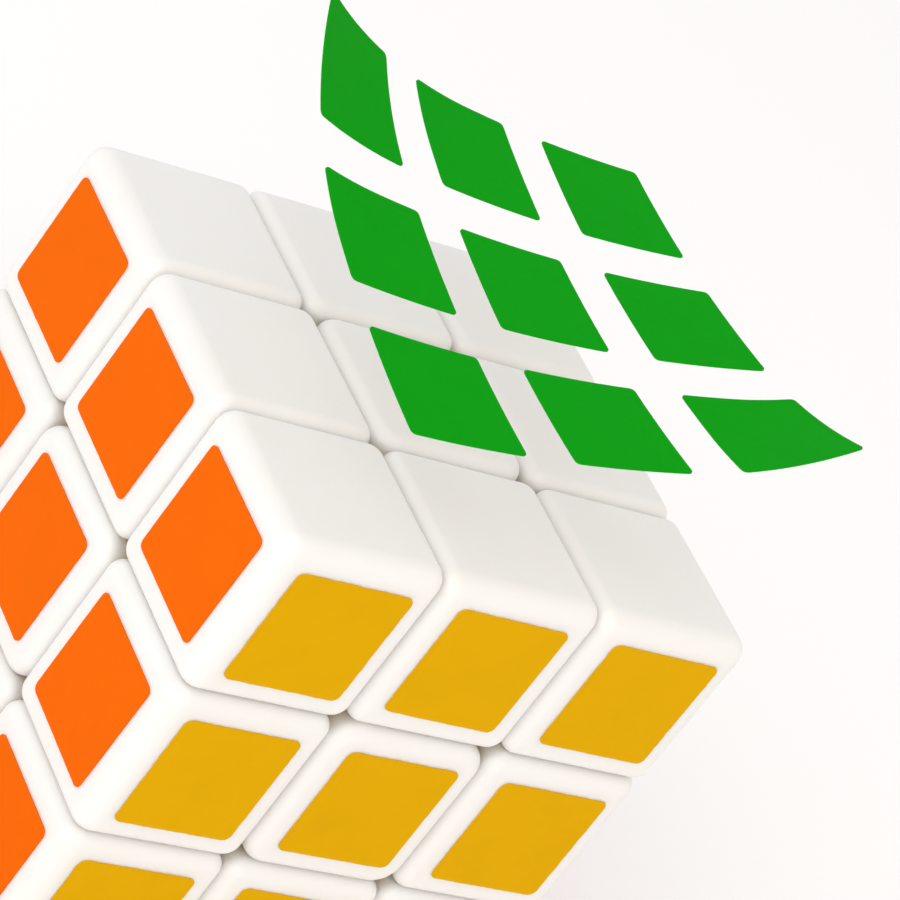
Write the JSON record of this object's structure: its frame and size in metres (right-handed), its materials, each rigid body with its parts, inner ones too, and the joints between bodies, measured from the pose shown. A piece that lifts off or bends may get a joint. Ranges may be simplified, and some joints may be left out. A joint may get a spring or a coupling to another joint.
{
  "type": "twisty puzzle cube",
  "caption": "Twisty puzzle cube of white moulded cubies on a sprung core, with coloured face stickers and one sheet of stickers lifted off its bare face.",
  "frame": {"origin": "centre of the down face, which the cube rests on", "axes": "+Z out of the up face that has lost its stickers, -Y out of the front (yellow) face, -X out of the left (orange) face"},
  "size_m": [0.057, 0.057, 0.0844],
  "materials": {
    "white_shell": "white moulded ABS, satin-gloss",
    "white_inner": "white moulded ABS, matt, unpolished inner mouldings",
    "core_plastic": "white nylon, matt",
    "screw_steel": "zinc-plated steel",
    "spring_steel": "drawn spring wire",
    "washer_steel": "punched steel",
    "green_vinyl": "die-cut vinyl, satin",
    "orange_vinyl": "die-cut vinyl, satin",
    "yellow_vinyl": "die-cut vinyl, satin",
    "red_vinyl": "die-cut vinyl, satin",
    "blue_vinyl": "die-cut vinyl, satin",
    "black_vinyl": "die-cut vinyl, satin"
  },
  "bodies": {
    "core": {"core_spider": "core_plastic", "tension_screws": "screw_steel", "tension_springs": "spring_steel", "screw_washers": "washer_steel"},
    "centre_up": {"centre_up_hub": "white_inner", "centre_up_cap": "white_shell"},
    "centre_down": {"centre_down_hub": "white_inner", "centre_down_cap": "white_shell"},
    "centre_front": {"centre_front_hub": "white_inner", "centre_front_cap": "white_shell"},
    "centre_back": {"centre_back_hub": "white_inner", "centre_back_cap": "white_shell"},
    "centre_right": {"centre_right_hub": "white_inner", "centre_right_cap": "white_shell"},
    "centre_left": {"centre_left_hub": "white_inner", "centre_left_cap": "white_shell"},
    "edge_up_back": {"edge_up_back_shell": "white_shell", "edge_up_back_foot": "white_inner"},
    "edge_up_left": {"edge_up_left_shell": "white_shell", "edge_up_left_foot": "white_inner"},
    "edge_up_front": {"edge_up_front_shell": "white_shell", "edge_up_front_foot": "white_inner"},
    "edge_up_right": {"edge_up_right_shell": "white_shell", "edge_up_right_foot": "white_inner"},
    "edge_down_front": {"edge_down_front_shell": "white_shell", "edge_down_front_foot": "white_inner"},
    "edge_down_right": {"edge_down_right_shell": "white_shell", "edge_down_right_foot": "white_inner"},
    "edge_down_back": {"edge_down_back_shell": "white_shell", "edge_down_back_foot": "white_inner"},
    "edge_down_left": {"edge_down_left_shell": "white_shell", "edge_down_left_foot": "white_inner"},
    "edge_back_right": {"edge_back_right_shell": "white_shell", "edge_back_right_foot": "white_inner"},
    "edge_back_left": {"edge_back_left_shell": "white_shell", "edge_back_left_foot": "white_inner"},
    "edge_front_left": {"edge_front_left_shell": "white_shell", "edge_front_left_foot": "white_inner"},
    "edge_front_right": {"edge_front_right_shell": "white_shell", "edge_front_right_foot": "white_inner"},
    "corner_up_back_right": {"corner_up_back_right_shell": "white_shell", "corner_up_back_right_foot": "white_inner"},
    "corner_up_back_left": {"corner_up_back_left_shell": "white_shell", "corner_up_back_left_foot": "white_inner"},
    "corner_up_front_left": {"corner_up_front_left_shell": "white_shell", "corner_up_front_left_foot": "white_inner"},
    "corner_up_front_right": {"corner_up_front_right_shell": "white_shell", "corner_up_front_right_foot": "white_inner"},
    "corner_down_front_right": {"corner_down_front_right_shell": "white_shell", "corner_down_front_right_foot": "white_inner"},
    "corner_down_back_right": {"corner_down_back_right_shell": "white_shell", "corner_down_back_right_foot": "white_inner"},
    "corner_down_back_left": {"corner_down_back_left_shell": "white_shell", "corner_down_back_left_foot": "white_inner"},
    "corner_down_front_left": {"corner_down_front_left_shell": "white_shell", "corner_down_front_left_foot": "white_inner"},
    "sticker_sheet": {"lifted_green_stickers": "green_vinyl"}
  },
  "joints": [
    {"name": "up_face_turn", "type": "hinge", "parent": "core", "child": "centre_up", "pos_m": [0, 0, 0.0285], "axis": [0, 0, 1], "continuous": true},
    {"name": "down_face_turn", "type": "hinge", "parent": "core", "child": "centre_down", "pos_m": [0, 0, 0.0285], "axis": [0, 0, 1], "continuous": true},
    {"name": "front_face_turn", "type": "hinge", "parent": "core", "child": "centre_front", "pos_m": [0, 0, 0.0285], "axis": [0, 1, 0], "continuous": true},
    {"name": "back_face_turn", "type": "hinge", "parent": "core", "child": "centre_back", "pos_m": [0, 0, 0.0285], "axis": [0, 1, 0], "continuous": true},
    {"name": "right_face_turn", "type": "hinge", "parent": "core", "child": "centre_right", "pos_m": [0, 0, 0.0285], "axis": [1, 0, 0], "continuous": true},
    {"name": "left_face_turn", "type": "hinge", "parent": "core", "child": "centre_left", "pos_m": [0, 0, 0.0285], "axis": [1, 0, 0], "continuous": true},
    {"name": "edge_up_back_follow", "type": "hinge", "parent": "centre_back", "child": "edge_up_back", "pos_m": [0, 0, 0.0285], "axis": [0, 0, 1], "continuous": true},
    {"name": "edge_up_left_follow", "type": "hinge", "parent": "centre_up", "child": "edge_up_left", "pos_m": [0, 0, 0.0285], "axis": [1, 0, 0], "continuous": true},
    {"name": "edge_up_front_follow", "type": "hinge", "parent": "centre_front", "child": "edge_up_front", "pos_m": [0, 0, 0.0285], "axis": [0, 0, 1], "continuous": true},
    {"name": "edge_up_right_follow", "type": "hinge", "parent": "centre_up", "child": "edge_up_right", "pos_m": [0, 0, 0.0285], "axis": [1, 0, 0], "continuous": true},
    {"name": "edge_down_front_follow", "type": "hinge", "parent": "centre_front", "child": "edge_down_front", "pos_m": [0, 0, 0.0285], "axis": [0, 0, 1], "continuous": true},
    {"name": "edge_down_right_follow", "type": "hinge", "parent": "centre_down", "child": "edge_down_right", "pos_m": [0, 0, 0.0285], "axis": [1, 0, 0], "continuous": true},
    {"name": "edge_down_back_follow", "type": "hinge", "parent": "centre_back", "child": "edge_down_back", "pos_m": [0, 0, 0.0285], "axis": [0, 0, 1], "continuous": true},
    {"name": "edge_down_left_follow", "type": "hinge", "parent": "centre_down", "child": "edge_down_left", "pos_m": [0, 0, 0.0285], "axis": [1, 0, 0], "continuous": true},
    {"name": "edge_back_right_follow", "type": "hinge", "parent": "centre_right", "child": "edge_back_right", "pos_m": [0, 0, 0.0285], "axis": [0, 1, 0], "continuous": true},
    {"name": "edge_back_left_follow", "type": "hinge", "parent": "centre_left", "child": "edge_back_left", "pos_m": [0, 0, 0.0285], "axis": [0, 1, 0], "continuous": true},
    {"name": "edge_front_left_follow", "type": "hinge", "parent": "centre_left", "child": "edge_front_left", "pos_m": [0, 0, 0.0285], "axis": [0, 1, 0], "continuous": true},
    {"name": "edge_front_right_follow", "type": "hinge", "parent": "centre_right", "child": "edge_front_right", "pos_m": [0, 0, 0.0285], "axis": [0, 1, 0], "continuous": true},
    {"name": "corner_up_back_right_follow", "type": "hinge", "parent": "edge_up_back", "child": "corner_up_back_right", "pos_m": [0, 0, 0.0285], "axis": [1, 0, 0], "continuous": true},
    {"name": "corner_up_back_left_follow", "type": "hinge", "parent": "edge_up_back", "child": "corner_up_back_left", "pos_m": [0, 0, 0.0285], "axis": [1, 0, 0], "continuous": true},
    {"name": "corner_up_front_left_follow", "type": "hinge", "parent": "edge_up_front", "child": "corner_up_front_left", "pos_m": [0, 0, 0.0285], "axis": [1, 0, 0], "continuous": true},
    {"name": "corner_up_front_right_follow", "type": "hinge", "parent": "edge_up_front", "child": "corner_up_front_right", "pos_m": [0, 0, 0.0285], "axis": [1, 0, 0], "continuous": true},
    {"name": "corner_down_front_right_follow", "type": "hinge", "parent": "edge_down_front", "child": "corner_down_front_right", "pos_m": [0, 0, 0.0285], "axis": [1, 0, 0], "continuous": true},
    {"name": "corner_down_back_right_follow", "type": "hinge", "parent": "edge_down_back", "child": "corner_down_back_right", "pos_m": [0, 0, 0.0285], "axis": [1, 0, 0], "continuous": true},
    {"name": "corner_down_back_left_follow", "type": "hinge", "parent": "edge_down_back", "child": "corner_down_back_left", "pos_m": [0, 0, 0.0285], "axis": [1, 0, 0], "continuous": true},
    {"name": "corner_down_front_left_follow", "type": "hinge", "parent": "edge_down_front", "child": "corner_down_front_left", "pos_m": [0, 0, 0.0285], "axis": [1, 0, 0], "continuous": true},
    {"name": "sticker_sheet_lift", "type": "slide", "parent": "centre_up", "child": "sticker_sheet", "axis": [0, 0, 1], "range_m": [-0.0131, 0]}
  ],
  "couplings": [
    {"joint": "edge_up_back_follow", "follows": "up_face_turn", "ratio": 1},
    {"joint": "edge_up_left_follow", "follows": "left_face_turn", "ratio": 1},
    {"joint": "edge_up_front_follow", "follows": "up_face_turn", "ratio": 1},
    {"joint": "edge_up_right_follow", "follows": "right_face_turn", "ratio": 1},
    {"joint": "edge_down_front_follow", "follows": "down_face_turn", "ratio": 1},
    {"joint": "edge_down_right_follow", "follows": "right_face_turn", "ratio": 1},
    {"joint": "edge_down_back_follow", "follows": "down_face_turn", "ratio": 1},
    {"joint": "edge_down_left_follow", "follows": "left_face_turn", "ratio": 1},
    {"joint": "edge_back_right_follow", "follows": "back_face_turn", "ratio": 1},
    {"joint": "edge_back_left_follow", "follows": "back_face_turn", "ratio": 1},
    {"joint": "edge_front_left_follow", "follows": "front_face_turn", "ratio": 1},
    {"joint": "edge_front_right_follow", "follows": "front_face_turn", "ratio": 1},
    {"joint": "corner_up_back_right_follow", "follows": "right_face_turn", "ratio": 1},
    {"joint": "corner_up_back_left_follow", "follows": "left_face_turn", "ratio": 1},
    {"joint": "corner_up_front_left_follow", "follows": "left_face_turn", "ratio": 1},
    {"joint": "corner_up_front_right_follow", "follows": "right_face_turn", "ratio": 1},
    {"joint": "corner_down_front_right_follow", "follows": "right_face_turn", "ratio": 1},
    {"joint": "corner_down_back_right_follow", "follows": "right_face_turn", "ratio": 1},
    {"joint": "corner_down_back_left_follow", "follows": "left_face_turn", "ratio": 1},
    {"joint": "corner_down_front_left_follow", "follows": "left_face_turn", "ratio": 1}
  ]
}
